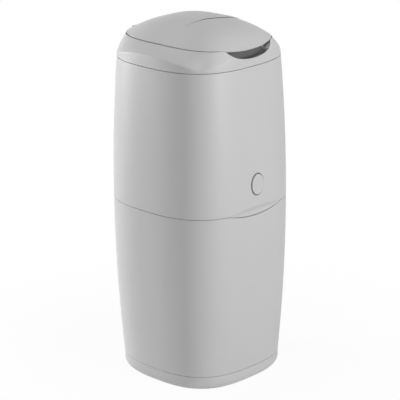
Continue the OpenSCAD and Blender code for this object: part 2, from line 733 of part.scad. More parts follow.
// ---- button and latch -------------------------------------------------------------------------------
front_y = -body_half(button_z);
wall_in_y = front_y + wall;
guide_ear = 12;
guide_ear_half = 8;
guide_front_y = -inner_y(button_w / 2 + guide_ear, button_z + guide_ear_half + 2) + fit + 0.1;
guide_back_y = guide_front_y + 14;
guide_back_t = 2.5;
stem_end_y = guide_back_y + guide_back_t + 3.5;
button_back_y = front_y + 6;

module release_button() color(light_grey) {
    w = button_w - 2 * button_gap;
    h = button_h - 2 * button_gap;
    oval_y(w, h, front_y - button_proud + 0.6, button_back_y, button_z);
    oval_y(w - 2, h - 2, front_y - button_proud, front_y, button_z);
    oval_y(button_w + 3, button_h + 3, guide_front_y, guide_front_y + 2, button_z);
    rod_y(stem_r, button_back_y - 1, stem_end_y, 0, button_z);
}

module button_guide() color(inner_grey) difference() {
    union() {
        oval_y(button_w + 8, button_h + 8, guide_front_y, guide_back_y + guide_back_t, button_z);
        both_x() box([button_w / 2 + 2, guide_front_y, button_z - guide_ear_half],
            [button_w / 2 + guide_ear, guide_front_y + 3, button_z + guide_ear_half]);
    }
    guide_screw_places() rod_y(screw_free_r, guide_front_y - 1, guide_front_y + 4, 0, 0);
    oval_y(button_w + 4, button_h + 4, guide_front_y - 1, guide_back_y, button_z);
    rod_y(stem_r + run_gap, guide_back_y - 1, guide_back_y + guide_back_t + 1, 0, button_z);
}

module guide_screw_places()
    for (x = [-1, 1]) translate([x * (button_w / 2 + 7.8), 0, button_z]) children();
module button_guide_screws() color(steel) guide_screw_places() {
    rod_y(screw_head_r, guide_front_y + 3, guide_front_y + 3 + screw_head_h, 0, 0);
    rod_y(screw_r, guide_front_y - 2, guide_front_y + 3, 0, 0);
}

spring_wire = 0.8;
module button_spring() color(steel) {
    turns = 5;
    low = button_back_y + 0.2 + spring_wire;
    high = guide_back_y - 0.2 - spring_wire;
    for (k = [0 : turns - 1]) translate([0, low + (high - low) * k / (turns - 1), button_z])
        rotate([90, 0, 0]) rotate_extrude($fn = 36)
            translate([stem_r + 2, 0]) circle(r = spring_wire, $fn = 16);
}

lever_x = 7;
pad_r = 3;
pad_y = stem_end_y + fit + pad_r;
latch_y = pad_y - 2;
latch_arm_t = 4;
hook_low_z = waist_z - 16;
hook_top_z = waist_z - 10;
hook_nose = 4;
catch_gap = 0.4;
latch_boss_r = 5;

module latch_lever() color(dark_grey) difference() {
    union() {
        rod_x(pad_r, -lever_x, lever_x, pad_y, button_z);
        box([-lever_x, pad_y - 1, latch_z], [lever_x, pad_y + pad_r - 0.3, button_z]);
        rod_x(latch_boss_r, -lever_x, lever_x, latch_y, latch_z);
        box([-lever_x, latch_y - latch_arm_t, hook_low_z], [lever_x, latch_y, latch_z]);
        box([-lever_x, latch_y - 0.1, hook_low_z], [lever_x, latch_y + hook_nose, hook_top_z]);
    }
    rod_x(latch_pin_r + run_gap, -lever_x - 1, lever_x + 1, latch_y, latch_z);
}

bracket_half = 20;
bracket_y0 = -inner_y(bracket_half, button_z) + fit + 0.1;
ear_t = 3;
bracket_bottom_z = waist_z + recess_up + 1.8;
bracket_top_z = button_z - button_h / 2 - 5;
latch_screw_z = (bracket_bottom_z + bracket_top_z) / 2;
module latch_screw_places() for (x = [-15.5, 15.5]) translate([x, 0, latch_screw_z]) children();

module latch_bracket() color(inner_grey) difference() {
    union() {
        box([-bracket_half, bracket_y0, bracket_bottom_z], [bracket_half, bracket_y0 + 2.5, bracket_top_z]);
        both_x() {
            box([lever_x + fit, bracket_y0, bracket_bottom_z],
                [lever_x + fit + ear_t, latch_y, bracket_top_z]);
            rod_x(latch_boss_r, lever_x + fit, lever_x + fit + ear_t, latch_y, latch_z);
        }
    }
    rod_x(latch_pin_r + run_gap, -20, 20, latch_y, latch_z);
    latch_screw_places() rod_y(screw_free_r, bracket_y0 - 1, bracket_y0 + 4, 0, 0);
}
module latch_bracket_screws() color(steel) latch_screw_places() {
    rod_y(screw_head_r, bracket_y0 + 2.5, bracket_y0 + 2.5 + screw_head_h, 0, 0);
    rod_y(screw_r, bracket_y0 - 2, bracket_y0 + 2.5, 0, 0);
}
module latch_pin() color(steel)
    rod_x(latch_pin_r, -lever_x - fit - ear_t - 0.5, lever_x + fit + ear_t + 0.5, latch_y, latch_z);
module latch_spring() color(steel)
    translate([lever_x + fit + ear_t + 2.7, latch_y, latch_z])
        rotate([0, 90, 0]) coil(latch_pin_r + 1, 0.7, 3);

catch_half = 20;
catch_y0 = -inner_y(catch_half, hook_low_z - 34) + fit + 0.1;
catch_post_y = latch_y + hook_nose + catch_gap;
module catch_screw_places() for (x = [-15.5, 15.5]) translate([x, 0, hook_low_z - 22]) children();

module latch_catch() color(dark_grey) difference() {
    union() {
        box([-catch_half, catch_y0, hook_low_z - 34], [catch_half, catch_y0 + 3, hook_low_z - 8]);
        box([-12, catch_y0, hook_low_z - 12], [12, catch_post_y + 5, hook_low_z - 8]);
        both_x() box([8.5, catch_y0, hook_low_z - 24], [12, catch_y0 + 14, hook_low_z - 8]);
        box([-12, catch_post_y + 2.5, hook_low_z - 12], [12, catch_post_y + 5, hook_top_z + 5]);
        box([-12, catch_post_y, hook_top_z + 0.5], [12, catch_post_y + 5, hook_top_z + 5]);
    }
    catch_screw_places() rod_y(screw_free_r, catch_y0 - 1, catch_y0 + 4, 0, 0);
}
module catch_screws() color(steel) catch_screw_places() {
    rod_y(screw_head_r, catch_y0 + 3, catch_y0 + 3 + screw_head_h, 0, 0);
    rod_y(screw_r, catch_y0 - 2, catch_y0 + 3, 0, 0);
}

// ---- waist hinge --------------------------------------------------------------------------------------
waist_axis_y = waist_w / 2 + waist_barrel_r + 0.5;
leaf_t = 3;
knuckle_in = 15;
knuckle_out = 44;
leaf_span = 22;
leaf_far = 34;
leaf_near = 9;
knuckle_h = 14;
leaf_steps = 8;

// a curved plate that hugs the rear wall between two heights
module rear_leaf(z0, z1) {
    n = leaf_steps + 1;
    grid = [
        for (z = [z0, z1], off = [-0.25, -0.25 - leaf_t], k = [0 : leaf_steps])
            let (
                near = min(body_half(z0), body_half(z1)),
                s = near - off + max(0, body_half(z) - near),
                p = plan_at(s, s, body_exp, 90 - leaf_span + 2 * leaf_span * k / leaf_steps)
            ) [p[0], p[1], z]
    ];
    function at(zi, oi, k) = (zi * 2 + oi) * n + k;
    polyhedron(grid, concat(
        [for (k = [0 : leaf_steps - 1]) each [
            [at(0, 0, k), at(0, 0, k + 1), at(1, 0, k + 1)], [at(0, 0, k), at(1, 0, k + 1), at(1, 0, k)],
            [at(0, 1, k + 1), at(0, 1, k), at(1, 1, k)], [at(0, 1, k + 1), at(1, 1, k), at(1, 1, k + 1)],
            [at(0, 0, k), at(0, 1, k), at(0, 1, k + 1)], [at(0, 0, k), at(0, 1, k + 1), at(0, 0, k + 1)],
            [at(1, 0, k + 1), at(1, 1, k + 1), at(1, 1, k)], [at(1, 0, k + 1), at(1, 1, k), at(1, 0, k)]
        ]],
        [
            [at(0, 0, 0), at(1, 0, 0), at(1, 1, 0)], [at(0, 0, 0), at(1, 1, 0), at(0, 1, 0)],
            [at(0, 0, n - 1), at(0, 1, n - 1), at(1, 1, n - 1)],
            [at(0, 0, n - 1), at(1, 1, n - 1), at(1, 0, n - 1)]
        ]));
}
leaf_screw_x = 33;
leaf_screw_z = 24;
leaf_screw_y = waist_w / 2 - 1.2;
module leaf_screws(z) for (x = [-1, 1]) {
    rod_y(screw_head_r, leaf_screw_y + leaf_t, leaf_screw_y + leaf_t + screw_head_h, x * leaf_screw_x, z);
    rod_y(screw_r, leaf_screw_y - 6, leaf_screw_y + leaf_t, x * leaf_screw_x, z);
}
module leaf_head_holes(z) for (x = [-1, 1])
    rod_y(screw_head_r + fit, leaf_screw_y + leaf_t, leaf_screw_y + leaf_t + 3, x * leaf_screw_x, z);
module leaf_holes(z, r)
    for (x = [-1, 1]) rod_y(r, leaf_screw_y - 8, leaf_screw_y + leaf_t + 2, x * leaf_screw_x, z);

module waist_hinge_lower() color(light_grey) difference() {
    union() {
        rear_leaf(waist_z - leaf_far, waist_z - leaf_near);
        both_x() {
            rod_x(waist_barrel_r, knuckle_in, knuckle_out, waist_axis_y, waist_z);
            box([knuckle_in, waist_w / 2 + fit, waist_z - knuckle_h], [knuckle_out, waist_axis_y, waist_z]);
        }
    }
    rod_x(waist_pin_r + run_gap, -knuckle_out - 1, knuckle_out + 1, waist_axis_y, waist_z);
    leaf_holes(waist_z - leaf_screw_z, screw_free_r);
    leaf_head_holes(waist_z - leaf_screw_z);
}
module waist_hinge_upper() color(light_grey) difference() {
    union() {
        rear_leaf(waist_z + leaf_near - 1, waist_z + leaf_far);
        rod_x(waist_barrel_r, -knuckle_in + 0.4, knuckle_in - 0.4, waist_axis_y, waist_z);
        box([-knuckle_in + 0.4, waist_w / 2 + fit, waist_z],
            [knuckle_in - 0.4, waist_axis_y, waist_z + knuckle_h]);
    }
    rod_x(waist_pin_r + run_gap, -knuckle_in, knuckle_in, waist_axis_y, waist_z);
    leaf_holes(waist_z + leaf_screw_z, screw_free_r);
    leaf_head_holes(waist_z + leaf_screw_z);
}
module waist_hinge_pin() color(steel)
    rod_x(waist_pin_r, -knuckle_out + 1, knuckle_out - 1, waist_axis_y, waist_z);
module waist_hinge_lower_screws() color(steel) leaf_screws(waist_z - leaf_screw_z);
module waist_hinge_upper_screws() color(steel) leaf_screws(waist_z + leaf_screw_z);

// ---- small screws of the lid -----------------------------------------------------------------------------
module lid_hinge_bracket_screws() color(steel)
    lid_bracket_screw_places() translate([0, 0, land_z - land_t]) screw(land_t + bracket_t);
module lid_liner_screws() color(steel)
    lid_boss_places() translate([0, 0, liner_low_z]) screw(liner_t + 6);

// ---- the whole bin ------------------------------------------------------------------------------
// the outline seen from above is centred on the origin, from the button's face to the waist hinge
bin_y = -(waist_axis_y + waist_barrel_r + front_y - button_proud) / 2;

translate([0, bin_y, 0]) {
    base_ring();
    feet();
    lower_shell();
    base_screws();
    waist_seal();
    latch_catch();
    catch_screws();
    waist_hinge_lower();
    waist_hinge_lower_screws();
    upper_shell();
    collar();
    head_deck();
    deck_screws();
    waist_hinge_upper();
    waist_hinge_upper_screws();
    waist_hinge_pin();
    lid_hinge_bracket();
    lid_hinge_bracket_screws();
    lid_hinge_pin();
    button_guide();
    button_guide_screws();
    button_spring();
    latch_bracket();
    latch_bracket_screws();
    latch_pin();
    latch_spring();
    cassette_tray();
    film_pack();
    cassette_cap();
    clamp_frame();
    clamp_frame_screws();
    jaw_pins();
    jaw_springs();
    cutter_runner();
    cutter_runner_screws();
    lid();
    lid_liner();
    lid_seal();
    lid_hinge_arm();
    lid_liner_screws();
    release_button();
    latch_lever();
    jaw_front();
    jaw_lip_front();
    jaw_rear();
    jaw_lip_rear();
    cutter_slide();
    cutter_blade();
}
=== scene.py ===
import json
import math

import bmesh
import bpy
from mathutils import Matrix, Vector


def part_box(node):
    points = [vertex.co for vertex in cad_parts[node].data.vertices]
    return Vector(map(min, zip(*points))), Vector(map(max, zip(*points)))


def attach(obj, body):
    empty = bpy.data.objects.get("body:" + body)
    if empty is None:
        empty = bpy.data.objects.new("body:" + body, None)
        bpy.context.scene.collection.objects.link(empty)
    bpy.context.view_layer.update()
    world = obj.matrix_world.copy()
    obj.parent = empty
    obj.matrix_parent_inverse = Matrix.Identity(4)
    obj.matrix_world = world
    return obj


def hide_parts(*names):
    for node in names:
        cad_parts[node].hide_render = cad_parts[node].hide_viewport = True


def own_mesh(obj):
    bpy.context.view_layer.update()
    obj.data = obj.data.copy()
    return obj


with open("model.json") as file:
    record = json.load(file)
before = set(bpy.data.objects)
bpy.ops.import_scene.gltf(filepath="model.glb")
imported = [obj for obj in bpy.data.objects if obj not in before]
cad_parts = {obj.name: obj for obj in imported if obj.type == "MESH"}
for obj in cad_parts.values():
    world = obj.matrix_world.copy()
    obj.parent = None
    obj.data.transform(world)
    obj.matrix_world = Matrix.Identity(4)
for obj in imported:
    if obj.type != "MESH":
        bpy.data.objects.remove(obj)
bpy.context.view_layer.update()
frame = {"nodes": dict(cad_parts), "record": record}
nodes = frame["nodes"]

# ---- sizes in millimetres, heights from the floor --------------------------------
MM = 0.001
SEG = 288                               # points round a ring
SHARP = math.radians(32)                # edges sharper than this stay sharp
WALL, FIT = 3.0, 0.3                    # wall, and clearance between fixed pieces
SINK = 0.5                              # how far a boss ends inside what carries it

# the body's width and height at the waist, at the collar's seam and at the base's
WAIST_W, COLLAR_W, BASE_W = 239.0, 223.0, 217.5
WAIST_Z, COLLAR_Z, BASE_Z = 280.0, 500.0, 24.0
WAIST_GAP, COLLAR_GAP, SEAM_GAP = 0.8, 0.9, 0.5
BODY_EXP = 2.8                          # squareness of its plan
BODY_STEPS, INNER_STEPS = 30, 12        # rings up the outside and the inside of a shell
BASE_ROUND, BASE_LOW_Z = 15.0, 1.5      # radius of the lower edge, and where it starts
BASE_STEPS, BASE_CROWD = 18, 1.6        # rings up that edge, closer towards the floor
LEDGE_Z, LEDGE_T, LEDGE_HOLE = 13.7, 3.0, 80.0  # inside the base; half the width of its hole
FLOOR_Z, FLOOR_T = LEDGE_Z + 0.2, 3.0   # the bucket's floor, just clear of the ledge
FOOT_AT, FOOT_BOSS_R, FOOT_BOSS_Z = 66.0, 9.0, 4.05
BASE_SCREW_AT = 91.0                    # distance of the base's screws from the middle
RECESS_W, RECESS_UP, RECESS_D = 114.0, 7.5, 4.0     # finger recess: width, rise, depth
RECESS_EASE = 0.6                       # share of its depth that it loses at its lower edge
SEAM_DIP, SEAM_BLEND, SEAM_STEPS = 7.5, 18.0, 26    # the waist's seam sinks at the front
WAIST_SEAL_IN = 2.6                     # inset of the gasket's inner face from the wall

LID_W, LID_D, LID_EXP = 167.0, 210.0, 3.3   # outline, and its squareness
LID_Z, LID_T, LID_GAP = 529.0, 3.0, 0.6     # height of the rim, wall, gap to the collar
DOME_H, DOME_EXP, DOME_STEPS, DOME_CROWD = 27.0, 3.1, 110, 1.2
EDGE_T, EDGE_IN, EDGE_EXP = 0.9, 0.3, 14    # thickness, inset and quickness of the rim's turn
LAND_Z, LAND_W, SKIRT_T = 524.0, 14.0, 2.5  # the collar's land under the lid, and its skirt
SCOOP_W, SCOOP_H, SCOOP_EXP = 100.0, 16.7, 1.2
LIP_DROP, LIP_OUT = 4.5, 2.2            # the front rim dips and stands out over the scoop
LIP_W, LIP_EXP, LIP_FROM = SCOOP_W + 20, 1.5, 0.75
POCKET_BELOW, POCKET_FLAT, POCKET_RISE = 9.0, 4.5, 6.0  # hollow behind the scoop
POCKET_ANGLE, SHADE_SHEET_T = 26, 0.7        # half the angle that the dark sheet of painted shade in the hollow spans
SIDE_UPRIGHT, CORNER_UPRIGHT = 0.60, 0.08   # share of the collar that stays upright
BEND_EXP, BEND_SOFT, LEAN = 1.18, 0.03, 0.06
SIDE_EXP, SIDE_SOFT = 0.3, 0.006        # how fast the sides turn into the corners
COLLAR_STEPS, COLLAR_SLOPE = 36, 0.9
COLLAR_HINGE_CUT, LID_HINGE_CUT = 30.3, 14.3    # half the width of the room for the hinge
CREST_H, CREST_REACH = 1.5, 95          # the low step across the lid, and where it has died out
CREASE_Y, CREASE_DROP = -17, 12         # the step's line: it comes forward towards the right
CREASE_FROM, CREASE_TO, CREASE_STEPS = -44, 62, 72
EDGE_GAP_BACK, EDGE_GAP_FRONT = 1.5, 0.35
LINER_DROP, LINER_T, SEAL_H = 15, 2.2, 2.6

BUTTON_W, BUTTON_H, BUTTON_Z = 27.5, 35.0, 320.0
BUTTON_GAP, BUTTON_PROUD, BUTTON_TRAVEL = 1.6, 1.7, 5.0
BUTTON_ROUND, BUTTON_CROWN = 0.9, 0.25  # its edge, and how far its face swells
BUTTON_RIM, BUTTON_RIM_T = 3.0, 2       # the rim that stops it in its guide
BUTTON_CUT_Y = (-126, -110)             # how far the hole's cutter reaches
CAP_DEEP, STEM_D, STEM_TIP = 6, 10.0, 0.6
DECK_TOP_Z, DECK_Z, FLANGE_T = 497.3, 455.0, 3.0    # flange's top, the well's floor
DECK_LEDGE_W, DECK_LEDGE_T, DECK_LEDGE_H = 3.5, 3, 7    # the head's ledge that carries it
DECK_BORE_R, DECK_BOSS_R, DECK_BOSS_H = 50.0, 4.0, 4.0
DECK_BOSS_AT = (40, 64.1)
JAW_SPRING_Y, JAW_SPRING_Z, JAW_SPRING_L = 50, 441, 6.4
TURN_POINTS = 28                        # points to a turn of a spring
FILM_BORE_R, FILM_FOLDS = 50.0, 22


def box_mid_y(name):
    lo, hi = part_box(name)
    return (lo[1] + hi[1]) / 2


# the body's own middle, where the curves below have their centre
BODY_MID = Vector((0, box_mid_y("base_ring"), 0))
CORNERS = [(x, y) for x in (-1, 1) for y in (-1, 1)]


def clamp(v, lo=0.0, hi=1.0):
    return max(lo, min(hi, v))


def smooth(v):
    v = clamp(v)
    return v * v * (3 - 2 * v)


def lerp(a, b, t):
    return a + (b - a) * t


# ---- plan curves and rings -------------------------------------------------------
ANGLES = [2 * math.pi * i / SEG for i in range(SEG)]


def plan(half_x, half_y, exp, a):
    """A point of a squared ellipse."""
    c, s = math.cos(a), math.sin(a)
    r = (abs(c) ** exp + abs(s) ** exp) ** (-1 / exp)
    return half_x * r * c, half_y * r * s


def body_half(z):
    """Half the body's width at a height: widest at the waist."""
    if z >= WAIST_Z:
        return WAIST_W / 2 - (WAIST_W - COLLAR_W) / 2 * ((z - WAIST_Z) / (COLLAR_Z - WAIST_Z)) ** 2
    return WAIST_W / 2 - (WAIST_W - BASE_W) / 2 * ((WAIST_Z - z) / (WAIST_Z - BASE_Z)) ** 2


def body_ring(off, z, h=None):
    """The body's plan at height z, set in by off, and put at height h if one is given."""
    s = body_half(z) - off
    return [(*plan(s, s, BODY_EXP, a), z if h is None else h) for a in ANGLES]


def base_rings(points):
    """Rings of the base's plan, from pairs of inset and height."""
    return [body_ring(off, BASE_Z, z) for off, z in points]


def recess_share(x, y):
    """1 in the middle of the finger recess, 0 at its ends and behind it."""
    return 0.0 if y > 0 else max(0.0, 1 - (2 * x / RECESS_W) ** 2)


def recess_at(share, z):
    """Depth of the finger recess at a height: it swells from its top edge, then eases."""
    t = (WAIST_Z + RECESS_UP * share - z) / ((RECESS_UP + SEAM_DIP) * share + 0.01)
    if t <= 0 or share == 0:
        return 0.0
    if t < 0.5:
        return RECESS_D * share * (2 * t) ** 2 * (3 - 4 * t)
    return RECESS_D * share * (1 - RECESS_EASE * (2 * min(t, 1) - 1) ** 2)


def seam_ring(off, up, dish):
    """A ring near the waist's seam, which dips at the front; dish adds the finger recess."""
    s = body_half(WAIST_Z + up) - off
    ring = []
    for a in ANGLES:
        x, y = plan(s, s, BODY_EXP, a)
        share = recess_share(x, y)
        z = WAIST_Z + up - SEAM_DIP * share * max(0, 1 - abs(up) / SEAM_BLEND)
        ring.append((x, y + (recess_at(share, z) if dish else 0), z))
    return ring


def lid_plan(off, a):
    return plan(LID_W / 2 - off, LID_D / 2 - off, LID_EXP, a)


def lid_ring(off, z):
    return [(*lid_plan(off, a), z) for a in ANGLES]


def lid_rings(points):
    """Rings of the lid's plan, from pairs of inset and height."""
    return [lid_ring(off, z) for off, z in points]


def circle(r, z, n=None, cx=0.0, cy=0.0):
    angles = ANGLES if n is None else [2 * math.pi * i / n for i in range(n)]
    return [(cx + r * math.cos(a), cy + r * math.sin(a), z) for a in angles]


def boss(cx, cy, n, points):
    """Rings of a round boss, from pairs of radius and height."""
    return [circle(r, z, n, cx, cy) for r, z in points]


def oval(w, h, y, n=96):
    """An upright ellipse about the button's axis."""
    angles = [2 * math.pi * i / n for i in range(n)]
    return [(-w / 2 * math.cos(a), y, BUTTON_Z + h / 2 * math.sin(a)) for a in angles]


# ---- mesh building ---------------------------------------------------------------
def link(name, data):
    obj = bpy.data.objects.new(name, data)
    bpy.context.collection.objects.link(obj)
    return obj


def add_loft(bm, rings, closed=False, caps=(False, False)):
    rows = [[bm.verts.new(BODY_MID + Vector(p) * MM) for p in ring] for ring in rings]
    n = len(rows[0])
    pairs = list(zip(rows, rows[1:])) + ([(rows[-1], rows[0])] if closed else [])
    for low, high in pairs:
        for i in range(n):
            k = (i + 1) % n
            bm.faces.new((low[i], low[k], high[k], high[i]))
    if caps[0]:
        bm.faces.new(rows[0][::-1])
    if caps[1]:
        bm.faces.new(rows[-1])


def to_object(bm, name):
    bmesh.ops.recalc_face_normals(bm, faces=bm.faces)
    mesh = bpy.data.meshes.new(name)
    bm.to_mesh(mesh)
    bm.free()
    mesh.shade_smooth()
    mesh.set_sharp_from_angle(angle=SHARP)
    return link(name, mesh)


def loft(name, rings, closed=False, caps=(False, False), extra=()):
    """A skin over rings, with capped lofts added to it where extra has any."""
    bm = bmesh.new()
    add_loft(bm, rings, closed, caps)
    for part in extra:
        add_loft(bm, part, False, (True, True))
    return to_object(bm, name)


def block(name, lo, hi):
    bm = bmesh.new()
    bmesh.ops.create_cube(bm, size=1)
    for v in bm.verts:
        v.co = BODY_MID + Vector([lerp(lo[k], hi[k], v.co[k] + 0.5) for k in range(3)]) * MM
    return to_object(bm, name)


def evaluated_mesh(obj):
    graph = bpy.context.evaluated_depsgraph_get()
    return bpy.data.meshes.new_from_object(obj.evaluated_get(graph))


def cut(obj, tool):
    mod = obj.modifiers.new("cut", "BOOLEAN")
    mod.operation, mod.solver, mod.object = "DIFFERENCE", "EXACT", tool
    mesh = evaluated_mesh(obj)
    obj.modifiers.clear()
    obj.data = mesh
    bpy.data.objects.remove(tool)
    obj.data.shade_smooth()
    obj.data.set_sharp_from_angle(angle=SHARP)


def soften(obj, width=0.5, segments=3):
    """Rounds the sharp edges by a width in millimetres."""
    bevel = obj.modifiers.new("edges", "BEVEL")
    bevel.width, bevel.segments = width * MM, segments
    bevel.limit_method, bevel.angle_limit = "ANGLE", SHARP
    bevel.use_clamp_overlap = True
    normals = obj.modifiers.new("normals", "WEIGHTED_NORMAL")
    normals.keep_sharp = True
    normals.weight = 80


def cad_box(name):
    """A node's corners in millimetres from the body's middle."""
    return [(Vector(corner) - BODY_MID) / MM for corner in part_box(name)]


def dress(obj, look):
    obj.data.materials.clear()
    obj.data.materials.append(MATS[look])


def place(obj, body, slot, stands_for=(), look=None):
    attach(obj, body)
    if stands_for:
        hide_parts(*stands_for)
    dress(obj, look or slot)


# ---- materials -------------------------------------------------------------------
def add(tree, kind, inputs=None, **settings):
    """A shader node with its plain values set."""
    made = tree.nodes.new("ShaderNode" + kind)
    for key, value in settings.items():
        setattr(made, key, value)
    for key, value in (inputs or {}).items():
        made.inputs[key].default_value = value
    return made


def new_material(name):
    mat = bpy.data.materials.new(name)
    mat.use_nodes = True
    tree = mat.node_tree
    tree.nodes.clear()
    return mat, tree, add(tree, "OutputMaterial")


def new_surface(name):
    mat, tree, out = new_material(name)
    bsdf = add(tree, "BsdfPrincipled")
    tree.links.new(bsdf.outputs["BSDF"], out.inputs["Surface"])
    return mat, tree, bsdf, add(tree, "TexCoord")


def noise(tree, coord, scale, detail, stretch=None):
    grain = add(tree, "TexNoise", {"Scale": scale, "Detail": detail, "Roughness": 0.5})
    source = coord.outputs["Object"]
    if stretch:
        mapping = add(tree, "Mapping", {"Scale": stretch})
        tree.links.new(source, mapping.inputs["Vector"])
        source = mapping.outputs["Vector"]
    tree.links.new(source, grain.inputs["Vector"])
    return grain


def tint(tree, bsdf, pattern, dark, pale, span=(0.0, 1.0)):
    """Colours the surface between two tones by a pattern."""
    ramp = add(tree, "ValToRGB")
    for stop, at, rgb in zip(ramp.color_ramp.elements, span, (dark, pale)):
        stop.position, stop.color = at, (*rgb, 1)
    tree.links.new(pattern.outputs["Fac"], ramp.inputs["Fac"])
    tree.links.new(ramp.outputs["Color"], bsdf.inputs["Base Color"])


def finish_relief(tree, bsdf, pattern, gloss, bump, depth):
    """Uneven gloss and relief from one pattern."""
    spread = add(tree, "MapRange", {"To Min": gloss[0], "To Max": gloss[1]})
    tree.links.new(pattern.outputs["Fac"], spread.inputs["Value"])
    tree.links.new(spread.outputs["Result"], bsdf.inputs["Roughness"])
    relief = add(tree, "Bump", {"Strength": bump, "Distance": depth})
    tree.links.new(pattern.outputs["Fac"], relief.inputs["Height"])
    tree.links.new(relief.outputs["Normal"], bsdf.inputs["Normal"])


def moulded(name, rgb, rough, tone=0.02, grain=900.0, bump=0.05, depth=0.00012, swing=0.06, ior=1.5):
    """Moulded plastic or rubber: faint flow tone, fine grain in the relief and uneven gloss."""
    mat, tree, bsdf, coord = new_surface(name)
    flow = noise(tree, coord, 14, 4, stretch=(1, 1, 0.35))
    dark, pale = [c * (1 - tone) for c in rgb], [min(1, c * (1 + tone)) for c in rgb]
    tint(tree, bsdf, flow, dark, pale, span=(0.3, 0.7))
    fine = noise(tree, coord, grain, 2)
    finish_relief(tree, bsdf, fine, (rough - swing, rough + swing), bump, depth)
    bsdf.inputs["IOR"].default_value = ior
    return mat


def brushed(name, rgb, rough=0.28):
    """Drawn steel wire: streaks in tone, gloss and relief."""
    mat, tree, bsdf, coord = new_surface(name)
    streaks = noise(tree, coord, 260, 3, stretch=(0.12, 1, 1))
    tint(tree, bsdf, streaks, [c * 0.86 for c in rgb], rgb)
    finish_relief(tree, bsdf, streaks, (rough - 0.08, rough + 0.1), 0.08, 0.00008)
    bsdf.inputs["Metallic"].default_value = 1.0
    return mat


SHELL_RGB = (0.60, 0.60, 0.60)
MATS = {
    "shell_grey": moulded("shell_plastic", SHELL_RGB, 0.46, tone=0.012),
    "button_grey": moulded("button_plastic", SHELL_RGB, 0.36, tone=0.012),
    "inner_grey": moulded("inner_plastic", (0.47, 0.48, 0.49), 0.5, grain=700, bump=0.08),
    # the strip in the lid's crease and the sleeve in the button's gap wear this dark material as painted
    # shade for the shadow there
    "dark_plastic": moulded("dark_plastic", (0.075, 0.08, 0.088), 0.48, tone=0.06, grain=700, bump=0.1),
    # painted shade: this dark grey sheet stands for the shadow in the hollow under the lid's front lip
    "pocket_painted_shade": moulded("pocket_painted_shade_material", (0.17, 0.172, 0.175), 0.5, tone=0.05, grain=700, bump=0.1),
    "white_plastic": moulded("white_plastic", (0.82, 0.82, 0.79), 0.34, tone=0.015),
    "film": moulded("film_plastic", (0.78, 0.83, 0.87), 0.22, tone=0.04, grain=1500, bump=0.12,
                    depth=0.0001),
    "cutter_blue": moulded("cutter_plastic", (0.055, 0.17, 0.38), 0.36, tone=0.04),
    "soft_rubber": moulded("soft_rubber", (0.033, 0.033, 0.038), 0.68, tone=0.08, grain=1200,
                           bump=0.16, depth=0.0001, swing=0.05, ior=1.52),
    "steel": brushed("spring_steel", (0.58, 0.59, 0.61)),
}

# ---- camera ----------------------------------------------------------------------
SENSOR_W, LENS = 36.0, 183.858
CAMERA_AT = Vector((-2.137916, -2.075017, 1.253970))    # metres, from the body's middle
CAMERA_AIM = Vector((0.6812459, 0.6612535, -0.3140824))
CAMERA_ROLL = -0.00929386


def make_camera():
    data = bpy.data.cameras.new("camera")
    data.sensor_width, data.lens = SENSOR_W, LENS
    data.clip_start, data.clip_end = 0.05, 60
    obj = link("camera", data)
    forward = CAMERA_AIM.normalized()
    level = forward.cross(Vector((0, 0, 1))).normalized()
    above = level.cross(forward).normalized()
    right = level * math.cos(CAMERA_ROLL) + above * math.sin(CAMERA_ROLL)
    up = above * math.cos(CAMERA_ROLL) - level * math.sin(CAMERA_ROLL)
    turn = Matrix((right, up, -forward)).transposed().to_4x4()
    obj.matrix_world = Matrix.Translation(BODY_MID + CAMERA_AT) @ turn
    bpy.context.scene.camera = obj
    return obj


camera = make_camera()


# ---- base ring -------------------------------------------------------------------
def base_off(z):
    """Inset of the base's rounded lower edge at a height."""
    return 0.0 if z >= BASE_ROUND else BASE_ROUND - math.sqrt(BASE_ROUND ** 2 - (BASE_ROUND - z) ** 2)


def make_base_ring():
    rim = BASE_Z - SEAM_GAP / 2
    hole = BASE_W / 2 - LEDGE_HOLE
    under = LEDGE_Z - LEDGE_T
    turn = 6.5
    heights = [BASE_LOW_Z + (BASE_ROUND - BASE_LOW_Z) * (k / BASE_STEPS) ** BASE_CROWD
               for k in range(BASE_STEPS + 1)] + [19.0, rim]
    rings = base_rings([(base_off(z), z) for z in heights])
    rings += base_rings([
        (WALL, rim), (WALL, LEDGE_Z), (hole, LEDGE_Z), (hole, under), (WALL + 3, under),
        (WALL + base_off(turn), turn), (WALL + base_off(BASE_LOW_Z) - 0.5, BASE_LOW_Z)])
    points = [(FOOT_BOSS_R, FOOT_BOSS_Z), (FOOT_BOSS_R, LEDGE_Z - SINK)]
    bosses = [boss(x * FOOT_AT, y * FOOT_AT, 48, points) for x, y in CORNERS]
    obj = loft("base_plinth", rings, closed=True, extra=bosses)
    soften(obj, 0.4)
    place(obj, "base", "shell_grey", ("base_ring",))


# ---- bucket and head shells ------------------------------------------------------
HALF_GAP = WAIST_GAP / 2
# distances from the waist's middle at which the rings near the seam lie
NEAR = [HALF_GAP + (SEAM_BLEND - HALF_GAP) * k / SEAM_STEPS for k in range(SEAM_STEPS + 1)]


